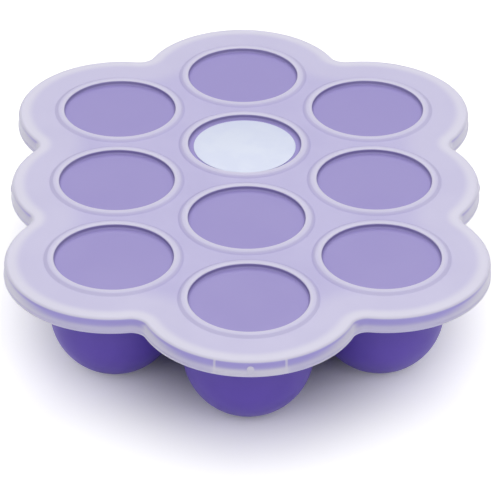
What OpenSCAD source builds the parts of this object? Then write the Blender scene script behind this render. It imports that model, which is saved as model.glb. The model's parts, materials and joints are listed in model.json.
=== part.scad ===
// Baby food freezer tray: a soft silicone tray of ten bowl-shaped cups in three columns
// of three, four and three, with a clip-on lid and a round label in one of its recesses.
// Millimetres. +Z is up, z = 0 is the table under the cups, X runs across the columns and
// -Y is the front. The lid sits in its closed place.
//
// The tray is one silicone moulding. It is cut into ten cells along the midlines between
// the cups, so that each cup is a piece with its own share of the deck, face to face with
// the next. The lid's lobed outline is one lobe round each outer cup, joined by notches.

/* [Layout] */
// Distance between neighbouring cups in a column
cup_pitch = 59; // [57:0.5:64]
// Distance between neighbouring columns of cups
column_pitch = 53.6; // [52:0.5:58]

/* [Cups] */
// Height from the table to the top face of the tray's deck
tray_h = 48; // [42:0.5:56]
// Outer radius of the round bowl at the bottom of a cup
bowl_r = 26.2; // [24:0.1:26.4]
// Depth cut off the bowl's bottom, so that the cup stands flat
base_cut = 1.9; // [0.8:0.1:3]
// Outer radius of a cup's neck, just under the deck
neck_r = 26.5; // [26.2:0.1:27]
// Radius of the fillet between a cup's neck and the deck
neck_fillet = 1.8; // [1:0.1:2.4]
// Thickness of the silicone in a cup's wall and floor
cup_wall = 1.6; // [1.2:0.1:2]

/* [Deck] */
// Thickness of the silicone deck between the cups
deck_t = 2; // [1.6:0.1:3]
// Height of the thicker rim along the deck's edge
rim_h = 4.4; // [3.8:0.1:5]
// Width of the thicker rim along the deck's edge
rim_w = 4; // [3:0.1:5]
// Rounding of the rim's upper and lower edge
rim_round = 1; // [0.4:0.1:1.3]
// Height of the sealing lip round each cup's mouth
lip_h = 0.5; // [0.3:0.1:0.6]
// Width of the sealing lip round each cup's mouth
lip_w = 1.2; // [0.8:0.1:1.4]

/* [Lid] */
// Radius of the lid's lobes, from a cup's axis to the skirt
lobe_r = 43.8; // [42:0.1:45]
// Radius of the round notches between the lobes
notch_r = 6.5; // [4:0.1:9]
// Thickness of the lid's wall
lid_t = 1.2; // [1:0.1:1.4]
// Radius of the shoulder between the lid's top and its skirt
shoulder_r = 1.7; // [1.5:0.1:3.2]
// Height of the skirt, from the lid's top face to its lower edge
skirt_h = 7; // [6:0.1:8]
// Radius of the rounded hem along the skirt's lower edge
hem_r = 0.7; // [0.5:0.05:0.9]
// How far the hem stands out from the skirt
hem_out = 0.3; // [0.1:0.05:0.4]
// Radius of the round recess over each cup
recess_r = 24; // [22.5:0.1:24.2]
// Depth of a recess below the top of the bead round it
recess_depth = 2; // [1.6:0.1:2.4]
// Width of the raised bead round each recess
bead_w = 3.7; // [3.5:0.1:4.4]
// Height of the bead above the lid's top face
bead_h = 0.75; // [0.7:0.05:1]
// Rounding of the bead's inner edge
bead_round = 0.6; // [0.3:0.05:0.7]

/* [Catches] */
// Length of each of the four catches inside the skirt
catch_l = 29; // [20:0.5:36]
// Height of a catch's ledge
catch_t = 1.1; // [0.8:0.1:1.4]
// Width of the upright rib at each end of a catch
catch_rib = 1; // [0.6:0.1:1.6]
// Radius of the small round pip on the skirt over each catch
pip_r = 1.2; // [0.8:0.1:1.4]

/* [Label] */
// Radius of the round label
label_r = 21.7; // [18:0.1:22]
// Thickness of the label
label_t = 0.3; // [0.2:0.05:0.5]

/* [Fits] */
// Gap between a recess's wall and the cup's mouth that it drops into
plug_gap = 0.3; // [0.2:0.05:0.5]
// Gap between a cup's sealing lip and the groove under the bead
lip_gap = 0.3; // [0.2:0.05:0.4]
// Gap between the tray's rim and the inside of the skirt
rim_gap = 1.8; // [1.4:0.1:2.2]
// Gap between the tray's rim and the ledge of a catch
catch_gap = 0.5; // [0.3:0.05:0.8]

/* [Hidden] */
$fn = 96;

silicone = [0.36, 0.29, 0.62];
frosted = [0.80, 0.78, 0.90];
paper = [0.90, 0.91, 0.98];

// Cups in the order of NODES, column by column from the front
cups = [
    for (y = [-1, 0, 1]) [-column_pitch, y * cup_pitch],
    for (y = [-1.5, -0.5, 0.5, 1.5]) [0, y * cup_pitch],
    for (y = [-1, 0, 1]) [column_pitch, y * cup_pitch]
];
// The eight outer cups, anticlockwise from the left front one
outer = [0, 3, 7, 8, 9, 6, 2, 1];
// Cups whose lobes hold a catch, each with the angle that it faces
catches = [[3, -90], [8, 0], [6, 90], [1, 180]];
labelled_cup = cups[5];

// A notch's arc meets its lobes at this angle
notch_crease = 10;
// A lobe runs this far, as an angle, into the corners beside it
wedge_margin = 4;
notch_reach = sqrt(lobe_r ^ 2 + notch_r ^ 2 + 2 * lobe_r * notch_r * cos(notch_crease));
// Cuts run past the faces that they open by this much
past = 1;
far = 400;

lid_z = tray_h + lid_t;
bead_z = lid_z + bead_h;
floor_z = bead_z - recess_depth;
hem_z = lid_z - skirt_h;
deck_z = tray_h - deck_t;
rim_r = lobe_r - lid_t - rim_gap;
plug_r = recess_r + lid_t;
mouth_r = plug_r + plug_gap;
lip_r = mouth_r + lip_w;
groove_r = lip_r + lip_gap;
bead_r = recess_r + bead_w;
catch_d = rim_gap - catch_gap;

// The cup's wall leaves the bowl along its tangent and runs straight to the neck
bowl_z = bowl_r - base_cut;
neck_z = deck_z - neck_fillet;
wall_lean = acos(bowl_r / norm([neck_r, neck_z - bowl_z])) - atan2(neck_z - bowl_z, neck_r);
function wall_start(r) = [r * cos(wall_lean), bowl_z - r * sin(wall_lean)];
function wall_r(r, z) = wall_start(r).x + (z - wall_start(r).y) * tan(wall_lean);
// Inside, a short cone widens the cup to its mouth below the lid's recess
inner_r = bowl_r - cup_wall;
seat_z = floor_z - lid_t - 2 * plug_gap;
seat_cone = 1.2;

// Outline of one cell: the ground that is nearer to cup i than to any other cup
function clip(shape, point, way) = [
    for (i = [0 : len(shape) - 1])
        let (a = shape[i], b = shape[(i + 1) % len(shape)])
        let (da = (a - point) * way, db = (b - point) * way)
        each [
            if (da <= 0) a,
            if (da * db < 0) a + (b - a) * da / (da - db)
        ]
];
function cell_outline(i, k = 0, shape = far * [[-1, -1], [1, -1], [1, 1], [-1, 1]]) =
    k == len(cups) ? shape :
    cell_outline(i, k + 1, k == i ? shape : clip(shape, (cups[i] + cups[k]) / 2, cups[k] - cups[i]));

function outer_cup(k) = cups[outer[(k + len(outer)) % len(outer)]];
// Centre of the notch between outer cups k and k + 1, and the way out through it
function notch_way(k) =
    let (along = outer_cup(k + 1) - outer_cup(k))
    [along.y, -along.x] / norm(along);
function notch_middle(k) = (outer_cup(k) + outer_cup(k + 1)) / 2;
function notch_centre(k) =
    let (half = norm(outer_cup(k + 1) - outer_cup(k)) / 2)
    notch_middle(k) + notch_way(k) * sqrt(notch_reach ^ 2 - half ^ 2);

module quarter(r) {
    intersection() {
        circle(r);
        square(r);
    }
}

// Section through an edge: its outer face is at x = 0, and the material is at x < 0
module rounded_edge(h, top_r) {
    translate([-far, 0])
        square([far, h - top_r]);
    translate([-far, 0])
        square([far - top_r, h]);
    translate([-top_r, h - top_r])
        quarter(top_r);
}

module lid_edge() {
    translate([0, hem_r])
        rounded_edge(skirt_h - hem_r, shoulder_r);
    translate([-far, 0])
        square([far + hem_out - hem_r, skirt_h / 2]);
    translate([hem_out - hem_r, hem_r])
        circle(hem_r);
}

module rim_edge() {
    difference() {
        rounded_edge(rim_h, rim_round);
        difference() {
            translate([-rim_round, -past])
                square([rim_round + past, rim_round + past]);
            translate([-rim_round, rim_round])
                circle(rim_round);
        }
    }
}

// A solid lobe of radius r round outer cup k, with the edge section given as a child
module lobe(k, r) {
    translate(outer_cup(k))
        rotate_extrude()
            intersection() {
                translate([r, 0])
                    children();
                square([r + past, far]);
            }
}

// Fills the corner between outer cups k and k + 1 as far as the notch
module notch_filler(k, r, h) {
    hollow_r = notch_r + lobe_r - r;
    difference() {
        linear_extrude(h)
            polygon([
                outer_cup(k),
                notch_centre(k),
                outer_cup(k + 1),
                notch_middle(k) - notch_way(k) * notch_r
            ]);
        translate(notch_centre(k))
            rotate_extrude()
                difference() {
                    translate([0, -past])
                        square([hollow_r + shoulder_r, h + 2 * past]);
                    translate([hollow_r, 0])
                        mirror([1, 0])
                            children();
                }
    }
}

// The wedge in which outer cup k's lobe shows: it ends a little inside the notches
module lobe_wedge(k, h) {
    ways = [for (turn = [-1, 1])
        let (way = notch_centre(turn < 0 ? k - 1 : k) - outer_cup(k))
        atan2(way.y, way.x) + turn * wedge_margin];
    translate(outer_cup(k))
        linear_extrude(h)
            polygon([[0, 0], for (way = ways) far * [cos(way), sin(way)]]);
}

// The whole lobed shape of height h, whose lobes have radius r
module lobed_solid(r, h) {
    for (k = [0 : len(outer) - 1]) {
        intersection() {
            lobe(k, r)
                children();
            lobe_wedge(k, h);
        }
        notch_filler(k, r, h)
            children();
    }
    linear_extrude(h)
        polygon([for (k = outer) cups[k]]);
}

// The same shape near outer cup k only
module lobed_part(k, r, h) {
    lobe(k, r)
        children();
    notch_filler(k - 1, r, h)
        children();
    notch_filler(k, r, h)
        children();
}

module cell_prism(i, h) {
    linear_extrude(h)
        polygon(cell_outline(i));
}

// Cup i's share of the deck: an outer one ends in the thicker rim
module deck_share(i) {
    deck_fillet = 0.5;
    k = search(i, outer);
    if (len(k) == 0)
        translate([0, 0, deck_z])
            cell_prism(i, deck_t);
    else
        translate([0, 0, tray_h - rim_h])
            intersection() {
                cell_prism(i, rim_h);
                difference() {
                    lobed_part(k[0], rim_r, rim_h)
                        rim_edge();
                    translate([0, 0, -past])
                        lobed_part(k[0], rim_r - rim_w, rim_h - deck_t + past)
                            rounded_edge(rim_h - deck_t + past, deck_fillet);
                }
            }
}

module cup_outside() {
    lip_round = 0.4;
    rotate_extrude() {
        intersection() {
            translate([0, bowl_z])
                circle(bowl_r);
            square([bowl_r + past, wall_start(bowl_r).y]);
        }
        polygon([
            [0, wall_start(bowl_r).y],
            wall_start(bowl_r),
            [neck_r, neck_z],
            [neck_r, deck_z],
            [0, deck_z]
        ]);
        translate([neck_r, neck_z])
            difference() {
                square(neck_fillet);
                translate([neck_fillet, 0])
                    circle(neck_fillet);
            }
        translate([0, deck_z])
            square([lip_r, deck_t + lip_h - lip_round]);
        translate([0, deck_z])
            square([lip_r - lip_round, deck_t + lip_h]);
        translate([lip_r - lip_round, tray_h + lip_h - lip_round])
            quarter(lip_round);
    }
}

module cup_inside() {
    rotate_extrude() {
        intersection() {
            translate([0, bowl_z])
                circle(inner_r);
            translate([0, cup_wall])
                square([bowl_r, wall_start(inner_r).y - cup_wall]);
        }
        polygon([
            [0, wall_start(inner_r).y],
            wall_start(inner_r),
            [wall_r(inner_r, seat_z - seat_cone), seat_z - seat_cone],
            [mouth_r, seat_z],
            [mouth_r, tray_h + lip_h + past],
            [0, tray_h + lip_h + past]
        ]);
    }
}

// One cup with its share of the deck
module cup_cell(i) {
    color(silicone)
        difference() {
            union() {
                deck_share(i);
                translate(cups[i])
                    cup_outside();
            }
            translate(cups[i])
                cup_inside();
        }
}

// The raised bead round one recess, hollow beneath for the lip, and the recess's floor
module bead_and_recess() {
    outer_round = bead_h;
    rotate_extrude() {
        translate([0, floor_z - lid_t])
            square([plug_r, lid_t]);
        translate([recess_r, floor_z])
            square([lid_t, bead_z - bead_round - floor_z]);
        translate([recess_r + bead_round, bead_z - lid_t])
            square([bead_w - bead_round, lid_t - outer_round]);
        translate([recess_r + bead_round, lid_z])
            square([bead_w - bead_round - outer_round, bead_h]);
        translate([recess_r + bead_round, bead_z - bead_round])
            mirror([1, 0])
                quarter(bead_round);
        translate([bead_r - outer_round, lid_z])
            quarter(outer_round);
        translate([groove_r, tray_h])
            square([bead_r - groove_r, lid_t]);
    }
}

// A catch inside the skirt of the lobe round cup c: a ledge with a rib at each end
module catch(c, facing) {
    skirt_r = lobe_r - lid_t;
    spread = catch_l / skirt_r * 180 / PI;
    rib_spread = catch_rib / skirt_r * 180 / PI;
    translate([c.x, c.y, hem_z + hem_r])
        rotate([0, 0, facing - spread / 2]) {
            rotate_extrude(angle = spread)
                translate([skirt_r - catch_d, 0])
                    square([catch_d + lid_t / 2, catch_t]);
            for (turn = [0, spread - rib_spread])
                rotate([0, 0, turn])
                    rotate_extrude(angle = rib_spread)
                        translate([skirt_r - catch_d, 0])
                            square([catch_d + lid_t / 2, tray_h - hem_z - hem_r + lid_t / 2]);
        }
}

// The pip on the outside of the skirt over a catch
module pip(c, facing) {
    translate([c.x, c.y, hem_z + skirt_h / 2])
        rotate([0, 0, facing])
            translate([lobe_r - lid_t / 2, 0, 0])
                rotate([0, 90, 0])
                    rotate_extrude()
                        quarter(pip_r);
}

module lid() {
    color(frosted) {
        difference() {
            translate([0, 0, hem_z])
                lobed_solid(lobe_r, skirt_h)
                    lid_edge();
            translate([0, 0, hem_z - past])
                lobed_solid(lobe_r - lid_t, skirt_h - lid_t + past)
                    rounded_edge(skirt_h - lid_t + past, shoulder_r - lid_t);
            for (c = cups)
                translate([c.x, c.y, tray_h - past])
                    cylinder(r = groove_r, h = lid_t + 2 * past);
        }
        for (c = cups)
            translate(c)
                bead_and_recess();
        for (c = catches) {
            catch(cups[c[0]], c[1]);
            pip(cups[c[0]], c[1]);
        }
    }
}

module label() {
    color(paper)
        translate([labelled_cup.x, labelled_cup.y, floor_z])
            cylinder(r = label_r, h = label_t);
}

cup_cell(0);  // cup_left_front
cup_cell(1);  // cup_left_middle
cup_cell(2);  // cup_left_back
cup_cell(3);  // cup_centre_front
cup_cell(4);  // cup_centre_near
cup_cell(5);  // cup_centre_far
cup_cell(6);  // cup_centre_back
cup_cell(7);  // cup_right_front
cup_cell(8);  // cup_right_middle
cup_cell(9);  // cup_right_back
lid();
label();
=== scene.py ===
"""Looks of the baby food freezer tray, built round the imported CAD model, in metres.

The file follows the object as it goes together: the silicone tray with its ten cups, the
frosted lid that clips over it, the catches and pips on the lid's skirt, the round label,
and then the floor, the light and the camera.
"""

import json

import bmesh
import bpy
import numpy as np
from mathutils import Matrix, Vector
from mathutils.geometry import delaunay_2d_cdt


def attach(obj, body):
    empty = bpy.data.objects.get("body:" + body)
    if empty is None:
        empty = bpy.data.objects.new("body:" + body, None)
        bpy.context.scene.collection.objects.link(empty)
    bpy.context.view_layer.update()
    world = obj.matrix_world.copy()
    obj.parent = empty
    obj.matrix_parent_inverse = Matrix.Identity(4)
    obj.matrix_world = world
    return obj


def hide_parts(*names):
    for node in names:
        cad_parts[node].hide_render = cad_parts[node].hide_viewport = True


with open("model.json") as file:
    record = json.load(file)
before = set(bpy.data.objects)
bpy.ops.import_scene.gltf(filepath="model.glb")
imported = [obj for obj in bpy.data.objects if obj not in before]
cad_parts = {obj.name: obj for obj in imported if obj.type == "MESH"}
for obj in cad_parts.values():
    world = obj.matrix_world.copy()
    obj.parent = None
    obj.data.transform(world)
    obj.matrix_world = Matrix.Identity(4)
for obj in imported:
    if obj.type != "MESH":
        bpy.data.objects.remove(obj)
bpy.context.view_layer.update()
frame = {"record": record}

# ---------------------------------------------------------------------------------------
# The tray: one soft moulding of purple food-grade silicone, ten bowl-shaped cups hanging
# from a flat deck with a thicker rim. Moulded in one shot, so the skin is satin and fine
# grained, and the deck's edge runs in one lobe round each of the eight outer cups.
# ---------------------------------------------------------------------------------------
MM = 0.001
COLUMN_PITCH, CUP_PITCH = 53.6 * MM, 59 * MM
# Lobes and notches of the lid's outline, which the deck's edge follows further in
LOBE_R, NOTCH_R = 43.8 * MM, 6.5 * MM
cup_places = np.array(
    [[-COLUMN_PITCH, y * CUP_PITCH] for y in (-1, 0, 1)]
    + [[0.0, y * CUP_PITCH] for y in (-1.5, -0.5, 0.5, 1.5)]
    + [[COLUMN_PITCH, y * CUP_PITCH] for y in (-1, 0, 1)]
)
# Places in cup_places: left, centre and right column, each from the front
LEFT_MIDDLE, CENTRE_FRONT, CENTRE_FAR, CENTRE_BACK, RIGHT_MIDDLE = 1, 3, 5, 6, 8
outer_cups = cup_places[[0, 3, 7, 8, 9, 6, 2, 1]]


def lobed_walk(lobe_steps=44, notch_steps=20):
    """The lid's outline as points and outward normals, anticlockwise, all in one array each.

    A lobe is an arc of radius LOBE_R round an outer cup. A notch is an arc of radius
    NOTCH_R outside, tangent to both its lobes, so its centre is LOBE_R + NOTCH_R from
    each. Point = centre + radius * (cos, sin); the normal points away from a lobe's
    centre and towards a notch's. A curve offset inwards by d is point - d * normal.
    """
    nxt = np.roll(outer_cups, -1, axis=0)
    along = nxt - outer_cups
    length = np.linalg.norm(along, axis=1, keepdims=True)
    out = np.stack([along[:, 1], -along[:, 0]], 1) / length
    reach = np.sqrt((LOBE_R + NOTCH_R) ** 2 - (length / 2) ** 2)
    notches = (outer_cups + nxt) / 2 + out * reach

    def arcs(centres, start, end, turn, radius, side, steps):
        """Arcs round each centre from its start to its end, with normals on the given side."""
        a0 = np.arctan2(*(start - centres).T[::-1])
        a1 = np.arctan2(*(end - centres).T[::-1])
        sweep = turn * ((turn * (a1 - a0)) % (2 * np.pi))
        t = np.linspace(0, 1, steps, endpoint=False)
        a = a0[:, None] + sweep[:, None] * t
        ray = np.stack([np.cos(a), np.sin(a)], -1)
        return centres[:, None] + radius * ray, side * ray

    lobes = arcs(outer_cups, np.roll(notches, 1, axis=0), notches, 1, LOBE_R, 1, lobe_steps)
    dips = arcs(notches, outer_cups, nxt, -1, NOTCH_R, -1, notch_steps)
    points, normals = [np.concatenate(pair, axis=1).reshape(-1, 2) for pair in zip(lobes, dips)]
    return points, normals


walk, walk_out = lobed_walk()


def rounded_line(corners, radii, steps=5):
    """A section line, given in mm and returned in metres, with its inner corners rounded.

    Corners are (x, z), and there is a radius for each but the first and the last. The arc
    leaves the two sides at radius / tan(half the corner's angle) from the corner and is
    sampled at equal turns; a radius of 0 keeps the corner sharp.
    """
    p = np.array(corners, float)
    rows = [p[:1]]
    for before, at, after, r in zip(p[:-2], p[1:-1], p[2:], radii):
        if r == 0:
            rows.append(at[None])
            continue
        u, v = before - at, after - at
        u, v = u / np.linalg.norm(u), v / np.linalg.norm(v)
        half = np.arccos(np.clip(u @ v, -1, 1)) / 2
        middle = at + (u + v) / np.linalg.norm(u + v) * r / np.sin(half)
        a, b = at + u * r / np.tan(half) - middle, at + v * r / np.tan(half) - middle
        turn = np.pi - 2 * half
        t = np.linspace(0, 1, steps + 1)[:, None]
        rows.append(middle + (np.sin((1 - t) * turn) * a + np.sin(t * turn) * b) / np.sin(turn))
    rows.append(p[-1:])
    return np.concatenate(rows) * MM


def with_heights(xy, height):
    """A grid of points xy, each column of it at its own height."""
    z = np.broadcast_to(height, xy.shape[:2])
    return np.concatenate([xy, z[..., None]], -1)


def swept_edge(section):
    """An edge section carried round the lobed outline: x of the section is the depth inside it."""
    inward, height = section.T
    return with_heights(walk[:, None] - inward[None, :, None] * walk_out[:, None], height)


def turned(section, centre, steps):
    """A section (radius, z) turned about the upright axis through centre, anticlockwise."""
    a = np.linspace(0, 2 * np.pi, steps, endpoint=False)
    ray = np.stack([np.cos(a), np.sin(a)], 1)
    radius, height = section.T
    return with_heights(centre + ray[:, None] * radius[None, :, None], height)


def flat_with_holes(loop, holes, z, spacing):
    """A flat face at height z inside loop and outside the round holes, cut into triangles.

    A square lattice of the given spacing fills it. A constrained Delaunay triangulation of
    all the points keeps every loop's edges, and a triangle stays if its centre is in the
    outer loop and in none of the others.
    """
    loops = [loop] + holes
    across = [np.arange(low + spacing, high, spacing) for low, high in zip(loop.min(0), loop.max(0))]
    lattice = np.stack(np.meshgrid(*across), -1).reshape(-1, 2)
    points = np.concatenate(loops + [lattice])
    starts = np.cumsum([0] + [len(ring) for ring in loops])
    rounds = [np.arange(first, after) for first, after in zip(starts, starts[1:])]
    edges = np.concatenate([np.stack([ring, np.roll(ring, -1)], 1) for ring in rounds])
    all_triangles, same_place = 0, 1e-9
    made = delaunay_2d_cdt([Vector(p) for p in points], edges.tolist(), [], all_triangles, same_place)
    xy, tris = np.array(made[0]), np.array(made[2])
    middle = xy[tris].mean(1)

    def within(ring):
        """Even-odd rule: how often a ray to the right of each centre crosses the ring."""
        a, b = ring, np.roll(ring, -1, axis=0)
        above = (a[:, 1] > middle[:, 1:]) != (b[:, 1] > middle[:, 1:])
        rise = np.where(b[:, 1] == a[:, 1], 1, b[:, 1] - a[:, 1])
        cross = (b[:, 0] - a[:, 0]) * (middle[:, 1:] - a[:, 1]) / rise + a[:, 0]
        return (above & (middle[:, :1] < cross)).sum(1) % 2 == 1

    keep = within(loop)
    for hole in holes:
        keep &= ~within(hole)
    return np.column_stack([xy, np.full(len(xy), z)]), tris[keep]


def grid_faces(rows, columns):
    """Quads of a grid of points whose rows run round and join up."""
    i = np.arange(rows)[:, None]
    j = np.arange(columns - 1)[None]
    a, b = i * columns + j, (i + 1) % rows * columns + j
    return np.stack([a, b, b + 1, a + 1], -1).reshape(-1, 4)


def one_mesh(name, grids, flats, material):
    """One closed mesh from grids of points and flat triangulated faces that meet along shared rings.

    Rings that meet have the same points, which are merged; a grid that ends on its axis
    closes there. Then the faces are turned outwards.
    """
    points, faces, at = [], [], 0
    for part in grids:
        rows, columns = part.shape[:2]
        points.append(part.reshape(-1, 3))
        faces += (grid_faces(rows, columns) + at).tolist()
        at += rows * columns
    for xyz, tris in flats:
        points.append(xyz)
        faces += (tris + at).tolist()
        at += len(xyz)
    mesh = bpy.data.meshes.new(name)
    mesh.from_pydata(np.concatenate(points).tolist(), [], faces)
    work = bmesh.new()
    work.from_mesh(mesh)
    bmesh.ops.remove_doubles(work, verts=work.verts, dist=0.002 * MM)
    bmesh.ops.dissolve_degenerate(work, edges=work.edges, dist=0.0001 * MM)
    bmesh.ops.recalc_face_normals(work, faces=work.faces)
    work.to_mesh(mesh)
    work.free()
    mesh.polygons.foreach_set("use_smooth", np.ones(len(mesh.polygons), bool))
    mesh.materials.append(material)
    piece = bpy.data.objects.new(name, mesh)
    bpy.context.scene.collection.objects.link(piece)
    return piece


def add_node(tree, kind, inputs, **settings):
    """A node of the given kind; each input is set to a value or linked to a socket."""
    node = tree.nodes.new(kind)
    for key, value in settings.items():
        setattr(node, key, value)
    for key, value in inputs.items():
        if isinstance(value, bpy.types.NodeSocket):
            tree.links.new(value, node.inputs[key])
        else:
            node.inputs[key].default_value = value
    return node


def maths(tree, operation, *values, clamp=False):
    """The result of a Math node whose inputs, in order, are values or sockets."""
    node = add_node(tree, "ShaderNodeMath", dict(enumerate(values)), operation=operation, use_clamp=clamp)
    return node.outputs[0]


def ramp(tree, value, start, end, low, high):
    """Low up to where value is start, high from where it is end, and a smooth step between."""
    inputs = {"Value": value, "From Min": start, "From Max": end, "To Min": low, "To Max": high}
    return add_node(tree, "ShaderNodeMapRange", inputs, interpolation_type="SMOOTHSTEP").outputs["Result"]


def tinted(tree, share, colour, tint):
    """The colour, mixed with the tint by share from 0 to 1."""
    inputs = {"Factor": share, "A": colour, "B": tint}
    return add_node(tree, "ShaderNodeMix", inputs, data_type="RGBA").outputs["Result"]


def moulded_skin():
    """Skin of a moulded piece: cloudy shade, uneven gloss, and grain left by the mould's texture.

    Clouds: noise of Cloud Scale mixes Color with Cloud Color. Gloss: the same clouds and the
    coarse grain move Roughness by Unevenness either way. Height: noise of Grain Scale plus
    half as much of a noise three times as fine. Scales are per metre.
    """
    group = bpy.data.node_groups.new("moulded_skin", "ShaderNodeTree")
    sockets = [
        ("Color", "NodeSocketColor", (0.5, 0.5, 0.5, 1)),
        ("Cloud Color", "NodeSocketColor", (0.4, 0.4, 0.4, 1)),
        ("Cloud Scale", "NodeSocketFloat", 60),
        ("Grain Scale", "NodeSocketFloat", 1500),
        ("Roughness", "NodeSocketFloat", 0.4),
        ("Unevenness", "NodeSocketFloat", 0.05),
    ]
    for title, kind, start in sockets:
        group.interface.new_socket(title, in_out="INPUT", socket_type=kind).default_value = start
    given = group.nodes.new("NodeGroupInput").outputs
    place = add_node(group, "ShaderNodeTexCoord", {}).outputs["Object"]

    def noise(scale, detail):
        """Noise over the piece's own coordinates."""
        inputs = {"Vector": place, "Scale": scale, "Detail": detail}
        return add_node(group, "ShaderNodeTexNoise", inputs).outputs["Fac"]

    cloud = ramp(group, noise(given["Cloud Scale"], 3.0), 0.35, 0.65, 0.0, 1.0)
    coarse = noise(given["Grain Scale"], 2.0)
    fine = noise(maths(group, "MULTIPLY", given["Grain Scale"], 3.0), 1.0)
    sway = maths(group, "SUBTRACT", maths(group, "ADD", cloud, coarse), 1.0)
    outcomes = [
        ("Color", "NodeSocketColor", tinted(group, cloud, given["Color"], given["Cloud Color"])),
        ("Roughness", "NodeSocketFloat",
         maths(group, "MULTIPLY_ADD", sway, given["Unevenness"], given["Roughness"])),
        ("Height", "NodeSocketFloat", maths(group, "MULTIPLY_ADD", fine, 0.5, coarse)),
    ]
    for title, kind, _ in outcomes:
        group.interface.new_socket(title, in_out="OUTPUT", socket_type=kind)
    result = group.nodes.new("NodeGroupOutput").inputs
    for title, _, socket in outcomes:
        group.links.new(socket, result[title])
    return group


skin_group = moulded_skin()


def skinned_material(name, skin_inputs, bump, plain):
    """A material whose Principled shader takes colour, roughness and bump from moulded_skin.

    The skin's inputs are set on its node, which is named skin. Bump is the height of its
    grain in metres. Plain values are set on the shader's own sockets.
    """
    material = bpy.data.materials.new(name)
    material.use_nodes = True
    tree = material.node_tree
    shader = tree.nodes["Principled BSDF"]
    for socket, value in plain.items():
        shader.inputs[socket].default_value = value
    skin = add_node(tree, "ShaderNodeGroup", skin_inputs, node_tree=skin_group, name="skin").outputs
    relief = add_node(tree, "ShaderNodeBump", {"Height": skin["Height"], "Distance": bump, "Strength": 1.0})
    tree.links.new(skin["Color"], shader.inputs["Base Color"])
    tree.links.new(skin["Roughness"], shader.inputs["Roughness"])
    tree.links.new(relief.outputs["Normal"], shader.inputs["Normal"])
    return material


silicone = skinned_material(
    "silicone",
    {"Color": (0.157, 0.090, 0.562, 1), "Cloud Color": (0.146, 0.084, 0.535, 1), "Cloud Scale": 45,
     "Grain Scale": 1100, "Roughness": 0.44, "Unevenness": 0.06},
    bump=0.02 * MM, plain={"IOR": 1.42},
)

# In mm: heights above the table, radii from a cup's axis, and the rim's depth inside the
# lid's outline
DECK_TOP, DECK_UNDER = 47.9, 46.0
RIM_DEPTH, RIM_W, RIM_LOW = 3.0, 4, 43.6
BOWL_R, BOWL_Z, INNER_R = 26.2, 24.3, 24.6
NECK_R, NECK_Z, NECK_FILLET = 26.5, 44.2, 1.8
LIP_R, LIP_TOP = 26.7, 48.45
MOUTH_R, SEAT_Z, SEAT_R = 25.5, 46.15, 24.9
CUP_FLOOR = 1.6

rim_section = rounded_line(
    [(RIM_DEPTH + 1.6, DECK_TOP), (RIM_DEPTH, DECK_TOP), (RIM_DEPTH, RIM_LOW),
     (RIM_DEPTH + RIM_W, RIM_LOW), (RIM_DEPTH + RIM_W, DECK_UNDER), (RIM_DEPTH + RIM_W + 0.8, DECK_UNDER)],
    [1, 1, 0.5, 0.3],
)
# The straight wall leaves the bowl along its tangent and runs up to the neck
wall_lean = np.arccos(BOWL_R / np.hypot(NECK_R, NECK_Z - BOWL_Z)) - np.arctan2(NECK_Z - BOWL_Z, NECK_R)


def bowl_arc(radius, lowest, steps=22):
    """The bowl's section (radius, z) in mm, from the wall's tangent point down to lowest."""
    end = np.arcsin((lowest - BOWL_Z) / radius)
    a = np.linspace(-wall_lean, end, steps)
    return np.stack([radius * np.cos(a), BOWL_Z + radius * np.sin(a)], 1)


def cup_outside():
    """Section of a cup's outside from the deck down: fillet, neck, leaning wall, bowl, flat foot."""
    bowl = bowl_arc(BOWL_R, 0.25)
    top = rounded_line(
        [(NECK_R + 2.4, DECK_UNDER), (NECK_R, DECK_UNDER), (NECK_R, NECK_Z - 0.6), bowl[0]],
        [NECK_FILLET, 0.5],
    )
    foot = rounded_line([bowl[-1], (bowl[-1, 0] - 1.4, 0), (0, 0)], [1.5])
    return np.concatenate([top[:-1], bowl * MM, foot[1:]])


def cup_inside():
    """Section of a cup's inside from the deck up over the sealing lip and down to the middle."""
    bowl = bowl_arc(INNER_R, CUP_FLOOR + 0.15)
    lip = rounded_line(
        [(LIP_R + 0.4, DECK_TOP), (LIP_R, DECK_TOP), (LIP_R, LIP_TOP), (MOUTH_R, LIP_TOP),
         (MOUTH_R, SEAT_Z), (SEAT_R, SEAT_Z - 1.2), bowl[0]],
        [0.15, 0.4, 0.4, 0.5, 1.0], 4,
    )
    floor = rounded_line([bowl[-1], (bowl[-1, 0] - 1.0, CUP_FLOOR), (0, CUP_FLOOR)], [1.0])
    return np.concatenate([lip[:-1], bowl * MM, floor[1:]])


CUP_STEPS = 88
DECK_LATTICE = 8 * MM
rim = swept_edge(rim_section)
cup_sections = cup_outside(), cup_inside()
cup_grids = [turned(section, place, CUP_STEPS) for place in cup_places for section in cup_sections]
outsides, insides = cup_grids[0::2], cup_grids[1::2]
deck_faces = [
    flat_with_holes(rim[:, 0, :2], [cup[:, 0, :2] for cup in insides], DECK_TOP * MM, DECK_LATTICE),
    flat_with_holes(rim[:, -1, :2], [cup[:, 0, :2] for cup in outsides], DECK_UNDER * MM, DECK_LATTICE),
]
tray = one_mesh("silicone_tray", [rim] + cup_grids, deck_faces, silicone)
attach(tray, "tray")
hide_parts(*frame["record"]["behaviour"]["bodies"]["tray"])

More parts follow.
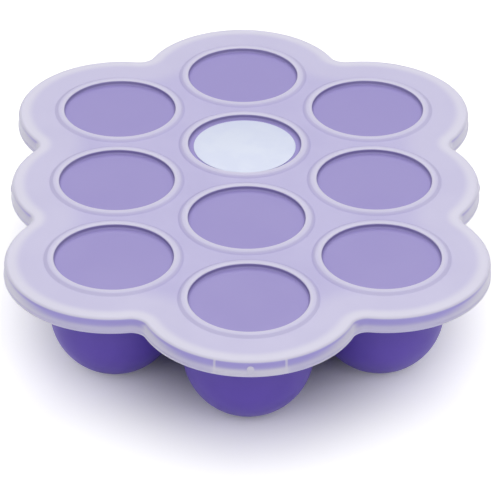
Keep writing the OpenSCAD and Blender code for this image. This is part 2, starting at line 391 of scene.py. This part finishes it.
# ---------------------------------------------------------------------------------------
# The lid: one thin injection-moulded shell of milky, frosted polypropylene. Its skirt
# clips over the deck's rim, and each recess is a plug that seats in the mouth of a cup,
# with a raised hollow bead round it that covers the cup's sealing lip.
# ---------------------------------------------------------------------------------------
LID_TOP, LID_UNDER, LID_WALL = 49.2, 48.0, 1.2
SHOULDER_R, HEM_OUT, HEM_LOW = 1.7, 0.3, 42.2
RECESS_R, RECESS_FLOOR, BEAD_TOP = 24.0, 47.95, 49.95
GROOVE_R, GROOVE_TOP, PLUG_R, PLUG_LOW = 27.0, 48.75, 25.2, 46.75

# The catches face the front, the right, the back and the left, each in the middle of a lobe
catch_places = [
    (cup_places[CENTRE_FRONT], -90),
    (cup_places[RIGHT_MIDDLE], 0),
    (cup_places[CENTRE_BACK], 90),
    (cup_places[LEFT_MIDDLE], 180),
]
# Ribs and pads of a catch, as arc lengths in mm from its middle, and its ledge's top
CATCH_HALF, RIB_W, PAD_FROM, PAD_TO, CATCH_HIGH = 14.5, 1.0, 9.0, 12.4, 44.0

frosted = skinned_material(
    "frosted_lid",
    {"Color": (0.645, 0.600, 0.910, 1), "Cloud Color": (0.620, 0.575, 0.890, 1), "Cloud Scale": 35,
     "Grain Scale": 900, "Roughness": 0.42, "Unevenness": 0.08},
    bump=0.02 * MM, plain={"IOR": 1.45, "Transmission Weight": 0.15},
)
# Tints for the lid's painted see-through, painted shade and painted light
PAINTED_BOWLS_AND_SHADE_TINT = (0.400, 0.338, 0.735, 1)
PAINTED_WALL_SHADE_TINT = (0.28, 0.23, 0.52, 1)
OVER_RIM_TINT = (0.48, 0.42, 0.91, 1)
PAINTED_PALE_LIGHT = (0.87, 0.845, 1.0, 1)
lid_tree = frosted.node_tree


def painted(title):
    """The point attribute of that name, as paint_light_shade_and_see_through leaves it on the mesh."""
    settings = {"attribute_name": title, "attribute_type": "GEOMETRY"}
    return add_node(lid_tree, "ShaderNodeAttribute", {}, **settings).outputs["Fac"]


def near(value, centre, half, soft):
    """Mask that is 1 where value is within half of centre and 0 beyond half + soft, smooth between."""
    off = maths(lid_tree, "ABSOLUTE", maths(lid_tree, "SUBTRACT", value, centre))
    return ramp(lid_tree, off, half, half + soft, 1.0, 0.0)


# Light, shade and what lies close behind are painted into the milky shell's colour: the shaded
# bowls and the tray's rim are painted in as if seen through it, and pale painted light at the
# edge. The rim is painted only where the skirt is seen straight through; aslant it is hidden.
aslant = add_node(lid_tree, "ShaderNodeLayerWeight", {"Blend": 0.5}).outputs["Facing"]
through = ramp(lid_tree, aslant, 0.25, 0.7, 1.0, 0.08)
shade = lid_tree.nodes["skin"].outputs["Color"]
for share, tint in (
    (painted("painted_bowls_and_shade"), PAINTED_BOWLS_AND_SHADE_TINT),
    (painted("painted_wall_shade"), PAINTED_WALL_SHADE_TINT),
    (maths(lid_tree, "MULTIPLY", painted("over_rim"), through), OVER_RIM_TINT),
    (painted("painted_edge_light"), PAINTED_PALE_LIGHT),
):
    shade = tinted(lid_tree, share, shade, tint)

# The catches' ribs and pads, moulded on the skirt's inside, are painted on it as paler shapes:
# their thicker plastic seen through, and painted highlights
GHOST_STRENGTH = 0.7
along_catch = painted("along_catch")
place = add_node(lid_tree, "ShaderNodeTexCoord", {}).outputs["Object"]
height = add_node(lid_tree, "ShaderNodeSeparateXYZ", {"Vector": place}).outputs["Z"]
rib = near(along_catch, CATCH_HALF - RIB_W / 2, 0.25, 0.5)
pad = maths(
    lid_tree, "MULTIPLY",
    near(along_catch, (PAD_FROM + PAD_TO) / 2, 1.5, 0.6), near(height, CATCH_HIGH * MM, 0.4 * MM, 0.5 * MM),
)
ghost = maths(lid_tree, "MULTIPLY", maths(lid_tree, "MAXIMUM", rib, pad), GHOST_STRENGTH)
# Painted light: seen aslant, the whole skirt wall is painted paler
painted_aslant_light = maths(lid_tree, "SUBTRACT", 1.0, through)
pale = maths(lid_tree, "MULTIPLY", maths(lid_tree, "MAXIMUM", ghost, painted_aslant_light), painted("skirt_wall"))
shade = tinted(lid_tree, pale, shade, PAINTED_PALE_LIGHT)
lid_tree.links.new(shade, lid_tree.nodes["Principled BSDF"].inputs["Base Color"])

# Extra rows on the top's edge and the skirt hold the paint where it changes fast
skirt_section = rounded_line(
    [(depth, LID_TOP) for depth in (7.6, 6.6, 5.6, 4.6, 3.6, 2.6, 0)]
    + [(0, z) for z in (46.6, 46.0, 45.5, 45.0, 44.5, 43.9)]
    + [(-HEM_OUT, 43.4), (-HEM_OUT, HEM_LOW), (LID_WALL, HEM_LOW), (LID_WALL, LID_UNDER),
       (2 * LID_WALL, LID_UNDER)],
    [0] * 5 + [SHOULDER_R] + [0] * 5 + [0.4, 0.3, 0.65, 0.5, 0.5], 6,
)
bead_section = rounded_line(
    [(28.8, LID_TOP), (28.1, LID_TOP), (26.5, BEAD_TOP), (RECESS_R, BEAD_TOP), (RECESS_R - 0.1, RECESS_FLOOR),
     (RECESS_R - 1.7, RECESS_FLOOR), (0, RECESS_FLOOR)],
    [0.9, 1.2, 0.5, 0.9, 0], 6,
)
plug_section = rounded_line(
    [(GROOVE_R + 0.4, LID_UNDER), (GROOVE_R, LID_UNDER), (GROOVE_R, GROOVE_TOP), (PLUG_R, GROOVE_TOP),
     (PLUG_R - 0.1, PLUG_LOW), (0, PLUG_LOW)],
    [0.1, 0.2, 0.1, 0.4], 4,
)
LID_STEPS = 128
WEB_TOP_LATTICE, WEB_UNDER_LATTICE = 3 * MM, 8 * MM
skirt = swept_edge(skirt_section)
recess_sections = bead_section, plug_section
recess_grids = [turned(section, place, LID_STEPS) for place in cup_places for section in recess_sections]
beads, plugs = recess_grids[0::2], recess_grids[1::2]
web_faces = [
    flat_with_holes(skirt[:, 0, :2], [bead[:, 0, :2] for bead in beads], LID_TOP * MM, WEB_TOP_LATTICE),
    flat_with_holes(skirt[:, -1, :2], [plug[:, 0, :2] for plug in plugs], LID_UNDER * MM, WEB_UNDER_LATTICE),
]
lid = one_mesh("frosted_lid", [skirt] + recess_grids, web_faces, frosted)


def smooth_between(low, high, value):
    """0 where value is at low, 1 where it is at high, and 3t**2 - 2t**3 between."""
    t = np.clip((value - low) / (high - low), 0, 1)
    return t * t * (3 - 2 * t)


def paint_light_shade_and_see_through(mesh):
    """Point attributes, 0 to 1, that paint light, shade and what lies behind into the lid's colour.

    painted_bowls_and_shade: the cups' shaded insides painted in on the recess floors, within
    23.4 to 25.3 mm of a cup's axis and below the web, and fainter painted shade on the outer
    flanks of the hollow beads. painted_wall_shade: painted shade on the upright wall between.
    painted_edge_light: painted light on the web, paler outwards and most in the last millimetres,
    which reach past the deck, painted highlights on the beads' crests, and painted light on the
    hem, which reaches below the rim. over_rim: the tray's rim painted in on the skirt's wall
    where it stands behind it. skirt_wall: the whole wall. along_catch is a length, in mm round
    the lobe from the middle of a catch.
    """
    spots = np.empty(len(mesh.vertices) * 3)
    mesh.vertices.foreach_get("co", spots)
    spots = spots.reshape(-1, 3) / MM
    z = spots[:, 2]

    def distance_to_nearest(places):
        """How far each point is, seen from above, from the nearest of the places, in batches."""
        batches = np.array_split(spots[:, None, :2], 40)
        return np.concatenate([np.linalg.norm(some - places[None] / MM, axis=2).min(1) for some in batches])

    off_axis = distance_to_nearest(cup_places)
    depth = distance_to_nearest(walk)

    # Painted see-through and shade: the cups' shaded insides are painted in on the recess floors, and painted
    # shade on the beads' outer flanks
    floors = smooth_between(25.3, 23.4, off_axis) * smooth_between(49.0, 48.2, z)
    flanks = smooth_between(26.3, 27.1, off_axis) * smooth_between(28.4, 27.7, off_axis)
    flanks *= smooth_between(49.1, LID_TOP, z)
    # Painted shade: the recess's upright wall is painted dark
    painted_wall_shade = smooth_between(24.6, 24.2, off_axis) * smooth_between(49.8, 49.4, z)
    painted_wall_shade *= smooth_between(48.2, 48.8, z)

    wall = smooth_between(1.6, 1.0, depth)
    over_rim = wall * (0.35 + 0.65 * smooth_between(45.2, 47.2, z)) * smooth_between(49.1, 48.5, z)

    far_away = 40.0
    along = np.full(len(spots), far_away)
    for centre, degrees in catch_places:
        ray = spots[:, :2] - centre / MM
        turned_off = np.arctan2(ray[:, 1], ray[:, 0]) - np.radians(degrees)
        turned_off = np.abs((turned_off + np.pi) % (2 * np.pi) - np.pi)
        off_lobe = np.abs(np.linalg.norm(ray, axis=1) - LOBE_R / MM) > 6
        along = np.minimum(along, np.where(off_lobe, far_away, turned_off * LOBE_R / MM))

    # Painted light: the web paler towards the edge, painted highlights on the beads' crests, and the hem
    # painted paler
    web = 0.37 * smooth_between(24, 13, depth) + 0.6 * smooth_between(7.2, 3.3, depth)
    web *= smooth_between(48.3, 48.8, z)
    crests = (0.36 + 0.4 * smooth_between(25.6, 24.6, off_axis)) * smooth_between(49.6, 49.9, z)
    hem = wall * (0.5 + 0.45 * smooth_between(17, 13, along)) * smooth_between(46.4, 44.6, z)

    for title, value in (
        ("painted_bowls_and_shade", np.maximum(floors, 0.3 * flanks)),
        ("painted_wall_shade", painted_wall_shade),
        ("over_rim", over_rim),
        ("painted_edge_light", np.maximum(np.maximum(web, crests), hem)),
        ("skirt_wall", wall),
        ("along_catch", along),
    ):
        mesh.attributes.new(title, "FLOAT", "POINT").data.foreach_set("value", value)


paint_light_shade_and_see_through(lid.data)
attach(lid, "lid")
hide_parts("lid")

# ---------------------------------------------------------------------------------------
# The catches: a short ledge between two upright ribs, with a small pad near each, moulded
# inside the skirt at the front, back, left and right in the lid's frosted plastic. The
# real one snaps under the soft rim; this one stops 0.5 mm short of it, as in the solids.
# ---------------------------------------------------------------------------------------
LOBE_MM = LOBE_R / MM
SKIRT_R = LOBE_MM - LID_WALL
CATCH_IN, CATCH_LOW = 41.3, 42.9
INTO_SKIRT = 0.15


def bar(start, end, stations, ring):
    """A bar along the skirt's inside, from start to end in mm of arc from the catch's middle.

    The ring of points (radius, z) is its section, in mm. Point = radius * (cos, sin) of the
    arc length / SKIRT_R. At both ends the ring shrinks to its middle, which closes the bar.
    The grid's rows run round the ring.
    """
    along = np.concatenate([[start], np.linspace(start, end, stations), [end]])
    angle = (along / SKIRT_R)[:, None]
    shrink = np.ones(len(along))
    shrink[[0, -1]] = 0
    shape = ring.mean(0) + shrink[:, None, None] * (ring - ring.mean(0))
    radius, z = shape[..., 0], shape[..., 1]
    loft = np.stack([radius * np.cos(angle), radius * np.sin(angle), z], -1) * MM
    return np.swapaxes(loft, 0, 1)


def rounded_ring(x0, x1, z0, z1, r, steps=3):
    """A closed rectangle with corners rounded by r, as points (x, z) anticlockwise."""
    quarter = np.linspace(0, np.pi / 2, steps + 1)
    corners = [(x1 - r, z0 + r, -90), (x1 - r, z1 - r, 0), (x0 + r, z1 - r, 90), (x0 + r, z0 + r, 180)]
    arcs = []
    for x, z, first in corners:
        a = quarter + np.radians(first)
        arcs.append(np.stack([x + r * np.cos(a), z + r * np.sin(a)], 1))
    return np.concatenate(arcs)


def facing(points, centre, degrees):
    """The points turned by the angle that the catch faces and moved to its cup's axis."""
    c, s = np.cos(np.radians(degrees)), np.sin(np.radians(degrees))
    x, y = points[..., 0], points[..., 1]
    return np.stack([centre[0] + c * x - s * y, centre[1] + s * x + c * y, points[..., 2]], -1)


ledge_ring = rounded_ring(CATCH_IN, SKIRT_R + INTO_SKIRT, CATCH_LOW, CATCH_HIGH, 0.3)
rib_ring = rounded_ring(CATCH_IN, SKIRT_R + INTO_SKIRT, CATCH_LOW + 0.05, LID_UNDER - 0.05, 0.3)
pad_ring = rounded_ring(CATCH_IN + 0.1, SKIRT_R + 0.1, CATCH_HIGH - 0.2, CATCH_HIGH + 0.8, 0.35)
bars = [bar(-CATCH_HALF, CATCH_HALF, 41, ledge_ring)]
for side in (-1, 1):
    bars.append(bar(*sorted((side * PAD_FROM, side * PAD_TO)), 6, pad_ring))
    bars.append(bar(*sorted((side * (CATCH_HALF - RIB_W), side * CATCH_HALF)), 3, rib_ring))
catch_grids = [facing(grid, centre, degrees) for centre, degrees in catch_places for grid in bars]
catches = one_mesh("lid_catches", catch_grids, [], frosted)
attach(catches, "lid")

# ---------------------------------------------------------------------------------------
# The pips: on the outside of the skirt over each catch, a small arched mark in low
# relief, moulded with the lid in the same frosted plastic.
# ---------------------------------------------------------------------------------------
PIP_HALF, PIP_LOW, PIP_SPRING, PIP_CORNER = 1.4, 43.9, 45.9, 0.3
PIP_MIDDLE, PIP_PROUD, PIP_ROOT = 45.3, 0.5, 0.55


def pip_grid(centre, degrees):
    """The pip: rings of an arched outline, shrunk towards its middle and raised into a low dome.

    Outline: a half circle of radius PIP_HALF over a straight-sided foot with cut corners. The
    ring of share s stands out by PIP_PROUD * (1 - s**4). The first two rings lie PIP_ROOT
    deep in the lid's wall and close the back.
    """
    a = np.linspace(0, np.pi, 17)
    arch = np.stack([PIP_HALF * np.cos(a), PIP_SPRING + PIP_HALF * np.sin(a)], 1)
    inner, corner = PIP_HALF - PIP_CORNER, PIP_LOW + PIP_CORNER
    foot = np.array([[-PIP_HALF, corner], [-inner, PIP_LOW], [inner, PIP_LOW], [PIP_HALF, corner]])
    outline = np.concatenate([arch, foot])
    middle = np.array([0, PIP_MIDDLE])
    share = np.array([0, 1, 1, 0.97, 0.9, 0.75, 0.5, 0.25, 0])
    stands_out = PIP_PROUD * (1 - share**4)
    stands_out[:2] = -PIP_ROOT
    flat = middle + share[None, :, None] * (outline[:, None] - middle)
    radius = np.broadcast_to(LOBE_MM + stands_out, flat.shape[:2])
    return facing(np.stack([radius, flat[..., 0], flat[..., 1]], -1) * MM, centre, degrees)


pips = one_mesh("lid_pips", [pip_grid(*place) for place in catch_places], [], frosted)
# Painted highlight: the pips are painted pale all over with the lid's painted edge light
PIP_PAINTED_LIGHT = 0.9
pip_light_paint = pips.data.attributes.new("painted_edge_light", "FLOAT", "POINT")
pip_light_paint.data.foreach_set("value", np.full(len(pips.data.vertices), PIP_PAINTED_LIGHT))
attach(pips, "lid")

# ---------------------------------------------------------------------------------------
# The label: a round film of pale plastic, cut to size and stuck by its back on the floor
# of one recess. It is left bare.
# ---------------------------------------------------------------------------------------
LABEL_R, LABEL_TOP, LABEL_UNDER = 21.7, 48.25, 47.97
film = skinned_material(
    "label_film",
    {"Color": (0.76, 0.81, 0.96, 1), "Cloud Color": (0.73, 0.78, 0.95, 1), "Cloud Scale": 90,
     "Grain Scale": 1600, "Roughness": 0.4, "Unevenness": 0.06},
    bump=0.012 * MM, plain={"IOR": 1.5},
)
label_section = rounded_line(
    [(0, LABEL_TOP), (LABEL_R, LABEL_TOP), (LABEL_R, LABEL_UNDER), (0, LABEL_UNDER)], [0.1, 0.1], 3
)
label = one_mesh("round_label", [turned(label_section, cup_places[CENTRE_FAR], LID_STEPS)], [], film)
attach(label, "lid")
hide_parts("label")

# ---------------------------------------------------------------------------------------
# The studio: a matt, pale floor that runs out of sight, a plain sky, three soft lamps
# above the tray, and the camera at the photograph's viewing angle.
# ---------------------------------------------------------------------------------------
bpy.context.scene.view_settings.view_transform = "Standard"
FLOOR_SIDE, FLOOR_NEAR, FLOOR_FAR = 4, -4, 6
floor_mesh = bpy.data.meshes.new("floor")
floor_corners = [
    (-FLOOR_SIDE, FLOOR_NEAR, 0), (FLOOR_SIDE, FLOOR_NEAR, 0),
    (FLOOR_SIDE, FLOOR_FAR, 0), (-FLOOR_SIDE, FLOOR_FAR, 0),
]
floor_mesh.from_pydata(floor_corners, [], [(0, 1, 2, 3)])
floor = bpy.data.objects.new("floor", floor_mesh)
bpy.context.scene.collection.objects.link(floor)

floor_paint = bpy.data.materials.new("floor_paint")
floor_paint.use_nodes = True
floor_tree = floor_paint.node_tree
shader = floor_tree.nodes["Principled BSDF"]
shader.inputs["Roughness"].default_value = 0.9
shader.inputs["Base Color"].default_value = (0.93, 0.93, 0.935, 1)
shader.inputs["Emission Color"].default_value = (1, 1, 0.98, 1)
# Seen straight or in a reflection, the floor is painted with light that pales it to white away
# from the tray in two steps and lifts the tray's shadow there: reach is the distance from the
# tray's middle in its own half lengths
TRAY_HALF_X, TRAY_HALF_Y = 0.098, 0.133
place = add_node(floor_tree, "ShaderNodeTexCoord", {}).outputs["Object"]
per_half = {0: place, 1: (1 / TRAY_HALF_X, 1 / TRAY_HALF_Y, 0)}
halves = add_node(floor_tree, "ShaderNodeVectorMath", per_half, operation="MULTIPLY").outputs["Vector"]
reach = add_node(floor_tree, "ShaderNodeVectorMath", {0: halves}, operation="LENGTH").outputs["Value"]
near_step = ramp(floor_tree, reach, 0.5, 1.15, 0.0, 0.5)
far_step = ramp(floor_tree, reach, 1.5, 3.5, 0.0, 0.5)
white = maths(floor_tree, "ADD", near_step, far_step)
ray = add_node(floor_tree, "ShaderNodeLightPath", {}).outputs
seen = maths(floor_tree, "ADD", ray["Is Camera Ray"], ray["Is Glossy Ray"])
seen = maths(floor_tree, "ADD", seen, ray["Is Transmission Ray"], clamp=True)
floor_tree.links.new(maths(floor_tree, "MULTIPLY", seen, white), shader.inputs["Emission Strength"])
floor_mesh.materials.append(floor_paint)

# The sky lights at SKY_LEVEL, and is white where the camera sees it
SKY_LEVEL = 0.28
world = bpy.data.worlds.new("studio")
bpy.context.scene.world = world
world.use_nodes = True
sky_tree = world.node_tree
sky = sky_tree.nodes["Background"].inputs
sky["Color"].default_value = (1, 1, 1, 1)
seen = add_node(sky_tree, "ShaderNodeLightPath", {}).outputs["Is Camera Ray"]
sky_tree.links.new(ramp(sky_tree, seen, 0.0, 1.0, SKY_LEVEL, 1.0), sky["Strength"])

LAMP_TARGET = Vector((0, 0, 0.03))


def soft_lamp(name, place, width, height, watts):
    """A rectangular area lamp of the given width and height at place, shining at the tray."""
    lamp = bpy.data.lights.new(name, "AREA")
    lamp.shape, lamp.size, lamp.size_y, lamp.energy = "RECTANGLE", width, height, watts
    holder = bpy.data.objects.new(name, lamp)
    holder.location = place
    holder.rotation_euler = (LAMP_TARGET - Vector(place)).to_track_quat("-Z", "Y").to_euler()
    bpy.context.scene.collection.objects.link(holder)


soft_lamp("top_light", (0.05, 0.1, 1.5), width=2.4, height=2.4, watts=13.5)
soft_lamp("back_light", (0.1, 1.2, 1.25), width=1.4, height=0.8, watts=7)
soft_lamp("front_light", (0, -1.2, 1.35), width=3.0, height=0.8, watts=9)

# Turns about the x, y and z axes, in degrees
CAMERA_TURNS = (57.236, -0.414, -0.878)
camera_data = bpy.data.cameras.new("camera")
camera_data.lens, camera_data.sensor_width = 215.12, 36
camera = bpy.data.objects.new("camera", camera_data)
camera.location = (-0.01916, -1.06228, 0.69848)
camera.rotation_euler = np.radians(CAMERA_TURNS)
bpy.context.scene.collection.objects.link(camera)
bpy.context.scene.camera = camera
